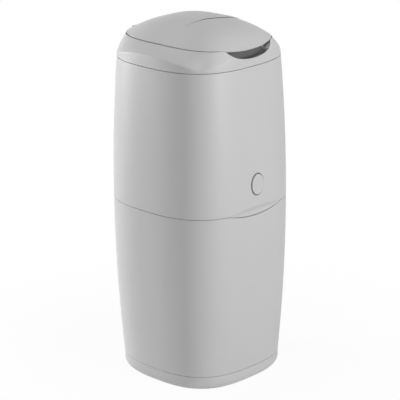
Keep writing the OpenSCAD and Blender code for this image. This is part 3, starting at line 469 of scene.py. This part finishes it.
def make_lower_shell():
    seat = BASE_Z + SEAM_GAP / 2
    span = WAIST_Z - SEAM_BLEND - seat
    heel = 3
    top = FLOOR_Z + FLOOR_T
    rings = base_rings([(WALL + heel + FIT, FLOOR_Z), (WALL + FIT, FLOOR_Z + heel), (WALL + FIT, seat)])
    rings += [body_ring(0, seat + span * k / BODY_STEPS) for k in range(BODY_STEPS)]
    rings += [seam_ring(0, -up, False) for up in NEAR[::-1]]
    rings += [seam_ring(WALL, -up, False) for up in NEAR]
    rings += [body_ring(WALL, seat + span * k / INNER_STEPS) for k in range(INNER_STEPS - 1, 0, -1)]
    rings += base_rings([(WALL + 4, BASE_Z), (WALL + 5, top + 3), (WALL + 7, top + 1), (WALL + 12, top)])
    rings += base_rings([(off, top) for off in (30, 60, 90)])
    points = [(5, top - SINK), (5, top + 3.4), (4.4, top + 4)]
    turns = [k * math.pi / 2 for k in range(4)]
    bosses = [boss(BASE_SCREW_AT * math.cos(a), BASE_SCREW_AT * math.sin(a), 40, points) for a in turns]
    obj = loft("bucket_shell", rings, caps=(True, True), extra=bosses)
    soften(obj, 0.5)
    place(obj, "base", "shell_grey", ("lower_shell",))


def make_upper_shell():
    low = WAIST_Z + SEAM_BLEND
    rim = COLLAR_Z - COLLAR_GAP / 2
    span = rim - low
    flange = DECK_TOP_Z - FLANGE_T
    ledge = WALL + DECK_LEDGE_W
    rings = [seam_ring(0, up, True) for up in NEAR]
    rings += [body_ring(0, low + span * k / BODY_STEPS) for k in range(1, BODY_STEPS + 1)]
    rings += [body_ring(WALL, rim), body_ring(WALL, flange), body_ring(ledge, flange),
              body_ring(ledge, flange - DECK_LEDGE_T), body_ring(WALL, flange - DECK_LEDGE_H)]
    rings += [body_ring(WALL, low + span * k / INNER_STEPS) for k in range(INNER_STEPS - 1, 0, -1)]
    rings += [seam_ring(WALL, up, True) for up in NEAR[::-1]]
    obj = loft("head_shell", rings, closed=True)
    hole = bmesh.new()
    add_loft(hole, [oval(BUTTON_W, BUTTON_H, y) for y in BUTTON_CUT_Y], caps=(True, True))
    cut(obj, to_object(hole, "tool"))
    soften(obj, 0.45)
    place(obj, "head", "shell_grey", ("upper_shell",))


# ---- collar ----------------------------------------------------------------------
COLLAR_LOW_Z = COLLAR_Z + COLLAR_GAP / 2


def scoop_top(x, y):
    """Height of the collar's rim, which sinks at the finger scoop."""
    if y > 0 or abs(x) >= SCOOP_W / 2:
        return LID_Z
    return LID_Z - SCOOP_H * (1 - (2 * x / SCOOP_W) ** 2) ** SCOOP_EXP


def toward_side(a):
    """0 at the corners of the plan and 1 in the middle of each side."""
    low = SIDE_SOFT ** SIDE_EXP
    return ((math.cos(2 * a) ** 2 + SIDE_SOFT) ** SIDE_EXP - low) / ((1 + SIDE_SOFT) ** SIDE_EXP - low)


def shoulder_ring(t, off=0.0):
    """The collar's skin from its seam (t = 0) to its rim (t = 1): upright, then bent in to the lid."""
    ring = []
    height = LID_Z - COLLAR_LOW_Z
    for a in ANGLES:
        low = plan(COLLAR_W / 2 - off, COLLAR_W / 2 - off, BODY_EXP, a)
        high = lid_plan(off - LID_GAP, a)
        u = t * (scoop_top(*high) - COLLAR_LOW_Z) / height
        upright = lerp(CORNER_UPRIGHT, SIDE_UPRIGHT, toward_side(a))
        bent = math.hypot(u - upright, BEND_SOFT) - BEND_SOFT if u > upright else 0.0
        full = math.hypot(1 - upright, BEND_SOFT) - BEND_SOFT
        w = lerp(LEAN * u, 1, (bent / full) ** BEND_EXP) if u < 1 else 1.0
        z = COLLAR_LOW_Z + height * u - off * t * COLLAR_SLOPE
        ring.append((lerp(low[0], high[0], w), lerp(low[1], high[1], w), z))
    return ring


def scoop_share(x, y):
    """1 in the middle of the scoop, 0 at its ends and behind it."""
    return (LID_Z - scoop_top(x, y)) / SCOOP_H


def land_ring(off, dip, drop):
    """A ring of the land under the lid's rim, sunk by dip behind the scoop."""
    ring = []
    for a in ANGLES:
        x, y = lid_plan(off, a)
        ring.append((x, y, LAND_Z - drop - dip * scoop_share(x, y)))
    return ring


def pocket_depth(off):
    """Depth of the hollow behind the scoop, at an inset from the lid's outline."""
    deepest = SCOOP_H - (LID_Z - LAND_Z) + POCKET_BELOW
    return deepest * (1 - smooth((off - POCKET_FLAT) / POCKET_RISE))


def make_collar():
    dip = pocket_depth(0)
    skirt = DECK_TOP_Z + 0.7
    under = LAND_W - SKIRT_T
    rings = [shoulder_ring(k / COLLAR_STEPS) for k in range(COLLAR_STEPS + 1)]
    for off in [-LID_GAP - 0.3, 0.4, 1.4, 2.4, 3.4, 4.4, 5.4, 6.4, 7.4, 8.4, 9.4, 10.5]:
        rings.append(land_ring(off, pocket_depth(off), 0))
    rings += [land_ring(LAND_W, 0, 0), lid_ring(LAND_W, skirt), lid_ring(under, skirt),
              land_ring(under, 0, 3), land_ring(10, dip * 0.08, 3), land_ring(6, dip * 0.9, 2),
              land_ring(2.6, dip, 1.6)]
    rings += [shoulder_ring(t, WALL) for t in (0.8, 0.6, 0.4, 0.15)]
    rings += [body_ring(off, COLLAR_Z, z) for off, z in (
        (WALL + 3, COLLAR_LOW_Z + 1), (WALL + 3, DECK_TOP_Z), (WALL + FIT, DECK_TOP_Z),
        (WALL + FIT, COLLAR_LOW_Z))]
    obj = loft("collar_shell", rings, closed=True)
    cut(obj, block("tool", (-COLLAR_HINGE_CUT, LID_D / 2 - 2, LAND_Z - 0.5),
                   (COLLAR_HINGE_CUT, COLLAR_W, LID_Z + 5)))
    soften(obj, 0.6)
    place(obj, "head", "shell_grey", ("collar",))


def make_pocket_shade():
    """A thin dark sheet in the hollow behind the scoop: painted shade for the shadow under the lid's front
    lip.
    """
    bm = bmesh.new()
    offs = [-0.6, 0.6, 2, 3.4, 4.6, 5.8, 7, 8.2, 9.4, 10.6]
    steps = 60
    angles = [math.radians(270 + POCKET_ANGLE * (2 * k / steps - 1)) for k in range(steps + 1)]

    def sheet(lift):
        rows = []
        for off in offs:
            row = []
            for a in angles:
                x, y = lid_plan(off, a)
                z = LAND_Z - pocket_depth(off) * scoop_share(x, y) + lift
                row.append(bm.verts.new(BODY_MID + Vector((x, y, z)) * MM))
            rows.append(row)
        return rows

    top, low = sheet(SHADE_SHEET_T / 2), sheet(-SHADE_SHEET_T / 2)
    n, m = len(offs), len(angles)
    for i in range(n - 1):
        for j in range(m - 1):
            bm.faces.new((top[i][j], top[i][j + 1], top[i + 1][j + 1], top[i + 1][j]))
            bm.faces.new((low[i][j], low[i + 1][j], low[i + 1][j + 1], low[i][j + 1]))
    edge = [(0, j) for j in range(m - 1)] + [(i, m - 1) for i in range(n - 1)]
    edge += [(n - 1, j) for j in range(m - 1, 0, -1)] + [(i, 0) for i in range(n - 1, 0, -1)]
    for (i, j), (p, q) in zip(edge, edge[1:] + edge[:1]):
        bm.faces.new((top[i][j], low[i][j], low[p][q], top[p][q]))
    place(to_object(bm, "scoop_painted_shade"), "head", "dark_plastic", look="pocket_painted_shade")


# ---- lid -------------------------------------------------------------------------
def lid_rho(x, y):
    """0 in the lid's middle and 1 on its outline."""
    return ((abs(x) / (LID_W / 2)) ** LID_EXP + (abs(y) / (LID_D / 2)) ** LID_EXP) ** (1 / LID_EXP)


def dome_at(rho):
    return LID_Z + DOME_H * (1 - rho ** DOME_EXP)


def lip_at(x, y, rho):
    """Share of the front rim's dip over the scoop."""
    if y > 0:
        return 0.0
    across = max(0.0, 1 - (2 * x / LIP_W) ** 2) ** LIP_EXP
    return across * max(0.0, (rho - LIP_FROM) / (1 - LIP_FROM)) ** 2


def crease_y(x):
    """Where the step across the lid runs."""
    return CREASE_Y - CREASE_DROP * smooth((x + 10) / 42)


def crest(x, y):
    """A low step across the top of the lid that fades out to the left."""
    width = lerp(16, 7, smooth((x + 45) / 55))
    height = CREST_H * smooth((x + 62) / 50) * smooth((82 - x) / 16)
    past = y - crease_y(x)
    return height * smooth(past / width + 0.3) * (1 - smooth(past / CREST_REACH))


def crease_run(name, play, top, bottom):
    """A narrow run along the step, finer towards its ends, between two heights from the skin."""
    rings = []
    for k in range(CREASE_STEPS + 1):
        x = lerp(CREASE_FROM, CREASE_TO, k / CREASE_STEPS)
        y = crease_y(x)
        half = play + 0.15 + 1.1 * smooth((x + 46) / 56) * smooth((64 - x) / 10)
        ring = []
        for side, level in ((-1, top), (-1, bottom), (1, bottom), (1, top)):
            at = y + side * half
            ring.append((x, at, dome_at(min(1.0, lid_rho(x, at))) + crest(x, at) + level))
        rings.append(ring)
    return loft(name, rings, caps=(True, True))


def edge_gap(y):
    """How far the rim stands over the collar: more at the back than at the front."""
    return lerp(EDGE_GAP_BACK, EDGE_GAP_FRONT, smooth((40 - y) / 130))


def dome_ring(rho, drop, inset=0.0, top=True):
    """A ring of the lid's upper skin, or of its lower one, at a share of its outline."""
    ring = []
    for a in ANGLES:
        x, y = lid_plan(inset, a)
        x, y = x * rho, y * rho
        lip = lip_at(x, y, rho)
        z = dome_at(rho) - drop - LIP_DROP * lip + (crest(x, y) if top else 0)
        z += (edge_gap(y) + (EDGE_T if top else 0)) * rho ** EDGE_EXP
        ring.append((x, y - LIP_OUT * lip * lip, z))
    return ring


def make_lid():
    shares = (0.08, 0.2, 0.35, 0.5, 0.6, 0.7, 0.78, 0.84, 0.9, 0.94)
    rings = [dome_ring(rho, LID_T, top=False) for rho in shares]
    rings += [dome_ring(0.97, LID_T + 0.2, top=False), dome_ring(0.985, LID_T - 0.3, top=False),
              dome_ring(0.994, 0.6, EDGE_IN, False), dome_ring(1, 0, EDGE_IN, False)]
    rings += [dome_ring(1 - 0.98 * (k / DOME_STEPS) ** DOME_CROWD, 0, EDGE_IN)
              for k in range(DOME_STEPS + 1)]
    obj = loft("lid_shell", rings, caps=(True, True))
    cut(obj, block("tool", (-LID_HINGE_CUT, LID_D / 2 - 6, LID_Z - 10), (LID_HINGE_CUT, LID_D, LID_Z + 20)))
    cut(obj, crease_run("tool", 0.12, 3, -1.5))
    soften(obj, 0.5)
    place(obj, "lid", "shell_grey", ("lid",))
    # painted shade: a dark strip sunk in the step's groove stands for the shadow along the crease
    place(crease_run("lid_crease_painted_shade", 0, -0.15, -1.3), "lid", "dark_plastic")


def liner_under(off):
    """A ring of the liner just below the lid's lower skin."""
    ring = []
    for a in ANGLES:
        x, y = lid_plan(off, a)
        rho = lid_rho(x, y)
        ring.append((x, y, dome_at(rho) - LIP_DROP * lip_at(x, y, rho) - LID_T - FIT - 0.5))
    return ring


def make_liner():
    low, flange = LAND_Z - LINER_DROP, LAND_Z + FIT + SEAL_H
    inner, flange_top = low + LINER_T, flange + LINER_T
    rings = lid_rings([
        (70, low), (50, low), (35, low), (22, low), (19, low), (17.8, low + 0.6), (17, low + 2),
        (16, flange), (11, flange), (11, flange_top), (14, flange_top)])
    rings += [liner_under(14), liner_under(16.2)]
    rings += lid_rings([(18.2, flange + 2), (19.2, low + 3), (23.2, inner), (40, inner), (70, inner)])
    obj = loft("lid_liner_pan", rings, caps=(True, True))
    soften(obj, 0.4)
    place(obj, "lid", "inner_grey", ("lid_liner",))


def make_seals():
    low, top = LAND_Z + FIT, LAND_Z + FIT + SEAL_H
    bead = lid_rings([(11.2, low + 0.5), (11.2, top), (13.8, top), (13.8, low + 0.5), (13.2, low),
                      (11.8, low)])
    obj = loft("lid_seal_bead", bead, closed=True)
    soften(obj, 0.3)
    place(obj, "lid", "soft_rubber", ("lid_seal",))
    ups = [-7, -4.6, -2.2, -HALF_GAP, HALF_GAP, 1.3, 2.2]
    rings = [seam_ring(WALL + FIT, up, up > 0) for up in ups]
    rings += [seam_ring(WALL + WAIST_SEAL_IN, up, up > 0) for up in ups[::-1]]
    obj = loft("waist_seal_ring", rings, closed=True)
    soften(obj, 0.4)
    place(obj, "base", "soft_rubber", ("waist_seal",))


# ---- deck with its well ----------------------------------------------------------
def make_deck():
    flange = DECK_TOP_Z - FLANGE_T
    well = LAND_W - SKIRT_T
    rings = [circle(DECK_BORE_R, DECK_Z - 3), lid_ring(well + 2, DECK_Z - 3), lid_ring(well, DECK_Z - 1),
             lid_ring(well, flange), body_ring(WALL + FIT, flange), body_ring(WALL + FIT, flange, DECK_TOP_Z),
             lid_ring(LAND_W, DECK_TOP_Z), lid_ring(LAND_W, DECK_Z + 3), lid_ring(LAND_W + 0.8, DECK_Z + 0.8),
             lid_ring(LAND_W + 3, DECK_Z), circle(DECK_BORE_R, DECK_Z)]
    points = [(DECK_BOSS_R, DECK_Z - SINK), (DECK_BOSS_R, DECK_Z + DECK_BOSS_H)]
    bosses = [boss(x * DECK_BOSS_AT[0], y * DECK_BOSS_AT[1], 32, points) for x, y in CORNERS]
    obj = loft("deck_pan", rings, closed=True, extra=bosses)
    soften(obj, 0.5)
    place(obj, "head", "inner_grey", ("head_deck",))


# ---- button ----------------------------------------------------------------------
CAP_W, CAP_H = BUTTON_W - 2 * BUTTON_GAP, BUTTON_H - 2 * BUTTON_GAP
BUTTON_FRONT = -body_half(BUTTON_Z)


def make_button():
    guide = cad_box("button_guide")[0][1]
    end = cad_box("release_button")[1][1]
    face = BUTTON_FRONT - BUTTON_PROUD
    rings = []
    for k in range(1, 8):
        share = k / 8
        rings.append(oval(CAP_W * share, CAP_H * share, face - BUTTON_CROWN * (1 - share ** 2)))
    for k in range(7):
        a = math.pi / 2 * k / 6
        trim = 2 * BUTTON_ROUND * (1 - math.sin(a))
        rings.append(oval(CAP_W - trim, CAP_H - trim, face + BUTTON_ROUND * (1 - math.cos(a))))
    rim_w, rim_h = BUTTON_W + BUTTON_RIM, BUTTON_H + BUTTON_RIM
    rim_end, cap_end, tip_d = guide + BUTTON_RIM_T, BUTTON_FRONT + CAP_DEEP, STEM_D - 2 * STEM_TIP
    rings += [oval(CAP_W, CAP_H, guide - 0.05), oval(rim_w, rim_h, guide), oval(rim_w, rim_h, rim_end),
              oval(CAP_W, CAP_H, rim_end + 0.05), oval(CAP_W, CAP_H, cap_end),
              oval(STEM_D, STEM_D, cap_end), oval(STEM_D, STEM_D, end - STEM_TIP),
              oval(tip_d, tip_d, end)]
    obj = loft("push_button", rings, caps=(True, True))
    soften(obj, 0.25, 2)
    place(obj, "button", "button_grey", ("release_button",))


def make_button_gap_shade():
    """A thin dark sleeve in the button's gap: painted shade for the shadow round the button."""
    slack, play = 0.15, 0.1
    near, far = BUTTON_FRONT + 0.6, BUTTON_FRONT + 2.6
    outer = (BUTTON_W - play, BUTTON_H - play)
    inner = (CAP_W + 2 * slack, CAP_H + 2 * slack)
    rings = [oval(*outer, near), oval(*outer, far), oval(*inner, far), oval(*inner, near)]
    place(loft("button_gap_painted_shade", rings, closed=True), "head", "dark_plastic")


# ---- springs as real coils -------------------------------------------------------
def helix(name, start, end, radius, wire, turns):
    """A round wire wound from start to end, with closed ends."""
    start, end = Vector(start), Vector(end)
    axis = end - start
    length = axis.length
    axis.normalize()
    side = axis.orthogonal().normalized()
    other = axis.cross(side)
    steps = int(turns * TURN_POINTS)
    curve = bpy.data.curves.new(name, "CURVE")
    curve.dimensions = "3D"
    curve.bevel_depth, curve.bevel_resolution = wire * MM, 4
    curve.use_fill_caps = True
    spline = curve.splines.new("POLY")
    spline.points.add(steps)
    for k, point in enumerate(spline.points):
        t = k / steps
        a = 2 * math.pi * turns * t
        along = wire + (length - 2 * wire) * t
        at = start + axis * along + (side * math.cos(a) + other * math.sin(a)) * radius
        point.co = (*(BODY_MID + at * MM), 1)
    obj = link(name, curve)
    mesh = evaluated_mesh(obj)
    bpy.data.objects.remove(obj)
    mesh.shade_smooth()
    return link(name, mesh)


def make_button_spring():
    lo, hi = cad_box("button_spring")
    spring = helix("button_coil", (0, hi[1], BUTTON_Z), (0, lo[1], BUTTON_Z), radius=7, wire=0.8, turns=5)
    place(spring, "head", "steel", ("button_spring",))
    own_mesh(spring)


def make_latch_spring():
    lo, hi = cad_box("latch_spring")
    y, z = (lo[1] + hi[1]) / 2, (lo[2] + hi[2]) / 2
    coil = helix("latch_coil", (lo[0], y, z), (hi[0], y, z), radius=3, wire=0.7, turns=2.6)
    place(coil, "head", "steel", ("latch_spring",))


def make_jaw_springs():
    """The four springs of the flaps, as one piece."""
    out = cad_box("jaw_springs")[1][0]
    bm = bmesh.new()
    for x, y in CORNERS:
        start = (x * (out - JAW_SPRING_L), y * JAW_SPRING_Y, JAW_SPRING_Z)
        end = (x * out, y * JAW_SPRING_Y, JAW_SPRING_Z)
        coil = helix("jaw_coil", start, end, radius=3.1, wire=0.8, turns=3.6)
        bm.from_mesh(coil.data)
        bpy.data.objects.remove(coil)
    mesh = bpy.data.meshes.new("jaw_coils")
    bm.to_mesh(mesh)
    bm.free()
    mesh.shade_smooth()
    place(link("jaw_coils", mesh), "head", "steel", ("jaw_springs",))


# ---- folded film in its tray -----------------------------------------------------
def film_ring(r, z, phase, amount):
    """A fold's edge, which wanders in and out by about the given amount."""
    ring = []
    for a in ANGLES:
        wave = math.sin(7 * a + phase) * 0.5 + math.sin(13 * a + 1.7 * phase) * 0.3
        wave += math.sin(29 * a - phase) * 0.2
        at = r + amount * wave
        ring.append((at * math.cos(a), at * math.sin(a), z))
    return ring


def make_film():
    lo, hi = cad_box("film_pack")
    half_fold = (hi[2] - lo[2]) / FILM_FOLDS / 2
    levels = range(2 * FILM_FOLDS + 1)
    rings = [film_ring(hi[0] - 0.5 - k % 2 * 1.4, lo[2] + half_fold * k, k * 0.9, 0.35) for k in levels]
    rings += [film_ring(FILM_BORE_R + 0.6 + k % 2 * 1.6, lo[2] + half_fold * k, k * 1.3 + 2, 0.4)
              for k in reversed(levels)]
    place(loft("film_folds", rings, closed=True), "head", "film", ("film_pack",))


make_base_ring()
make_lower_shell()
make_upper_shell()
make_collar()
make_pocket_shade()
make_lid()
make_liner()
make_seals()
make_deck()
make_button()
make_button_gap_shade()
make_button_spring()
make_latch_spring()
make_jaw_springs()
make_film()

# ---- CAD nodes that stay get their finish ----------------------------------------
SLOTS = {p["node"]: p["material_slot"] for p in frame["record"]["subparts"]}
for name, obj in nodes.items():
    if not obj.hide_render:
        dress(obj, SLOTS[name])
        bevel = obj.modifiers.new("edges", "BEVEL")
        bevel.width, bevel.segments = 0.25 * MM, 2
        bevel.limit_method, bevel.angle_limit = "ANGLE", math.radians(40)
        bevel.harden_normals = True

# ---- floor, world and lamps ------------------------------------------------------
FLOOR_HALF = 6                          # metres, as all below
FLOOR_RGB = (0.86, 0.86, 0.86)
PALE_FROM, PALE_TO = 0.16, 0.55         # the floor turns fully white between these distances
PALE_NEAR = 0.95                        # its share of white beside the object, which keeps the shadow
WHITE = (1, 1, 1, 1)
SOFT_LIGHT = 0.03                       # the world's own light on the object
LAMPS_AIM = Vector((0, 0, 0.28))        # the middle of the bin
LAMPS = [
    # name, azimuth from the camera (right is positive), elevation, distance, size, watts
    ("key", 45, 8, 2.2, 0.35, 20),
    ("key_high", 45, 62, 2.2, 0.9, 16),
    ("top", 0, 88, 2.4, 1.2, 7),
    ("left_edge", -105, 8, 2.2, 0.35, 22),
    ("left_soft", -105, 8, 2.2, 0.9, 14),
    ("left_high", -105, 35, 2.2, 0.35, 3.5),
]


def ray_is_seen(tree):
    """1 for a ray from the camera, or one that a glossy or clear surface sends on."""
    path = add(tree, "LightPath")
    seen = path.outputs["Is Camera Ray"]
    for kind in ("Is Glossy Ray", "Is Transmission Ray"):
        either = add(tree, "Math", operation="MAXIMUM")
        tree.links.new(seen, either.inputs[0])
        tree.links.new(path.outputs[kind], either.inputs[1])
        seen = either.outputs[0]
    return seen


def mix_into(tree, out, share, real, white):
    """The real surface, with a share of plain white over it."""
    mix = add(tree, "MixShader")
    tree.links.new(share, mix.inputs["Fac"])
    tree.links.new(real.outputs[0], mix.inputs[1])
    tree.links.new(white.outputs[0], mix.inputs[2])
    tree.links.new(mix.outputs[0], out.inputs["Surface"])


def make_stage():
    bm = bmesh.new()
    bmesh.ops.create_grid(bm, x_segments=2, y_segments=2, size=FLOOR_HALF)
    mesh = bpy.data.meshes.new("floor")
    bm.to_mesh(mesh)
    bm.free()
    floor = link("floor", mesh)
    mat, tree, out = new_material("floor_paper")
    paper = add(tree, "BsdfDiffuse", {"Color": (*FLOOR_RGB, 1)})
    white = add(tree, "Emission", {"Color": WHITE, "Strength": 1.0})
    coord = add(tree, "TexCoord")
    reach = add(tree, "VectorMath", operation="LENGTH")
    tree.links.new(coord.outputs["Object"], reach.inputs[0])
    fade = add(tree, "MapRange", {
        "From Min": PALE_FROM, "From Max": PALE_TO, "To Min": PALE_NEAR, "To Max": 1.0})
    tree.links.new(reach.outputs["Value"], fade.inputs["Value"])
    share = add(tree, "Math", operation="MULTIPLY")
    tree.links.new(ray_is_seen(tree), share.inputs[0])
    tree.links.new(fade.outputs["Result"], share.inputs[1])
    mix_into(tree, out, share.outputs[0], paper, white)
    mesh.materials.append(mat)


def make_world():
    world = bpy.data.worlds.new("studio")
    bpy.context.scene.world = world
    world.use_nodes = True
    tree = world.node_tree
    tree.nodes.clear()
    out = add(tree, "OutputWorld")
    soft = add(tree, "Background", {"Color": WHITE, "Strength": SOFT_LIGHT})
    white = add(tree, "Background", {"Color": WHITE, "Strength": 1.0})
    mix_into(tree, out, ray_is_seen(tree), soft, white)


def make_lamps():
    toward = camera.matrix_world.translation - LAMPS_AIM
    start = math.atan2(toward.y, toward.x)
    for name, azimuth, elevation, distance, size, watts in LAMPS:
        a, e = start + math.radians(azimuth), math.radians(elevation)
        away = Vector((math.cos(a) * math.cos(e), math.sin(a) * math.cos(e), math.sin(e)))
        spot = LAMPS_AIM + away * distance
        data = bpy.data.lights.new(name, "AREA")
        data.shape, data.size, data.energy = "SQUARE", size, watts
        lamp = link(name, data)
        lamp.location = spot
        lamp.rotation_mode = "QUATERNION"
        lamp.rotation_quaternion = (LAMPS_AIM - spot).to_track_quat("-Z", "Y")


make_stage()
make_world()
make_lamps()
bpy.context.scene.view_settings.view_transform = "Standard"
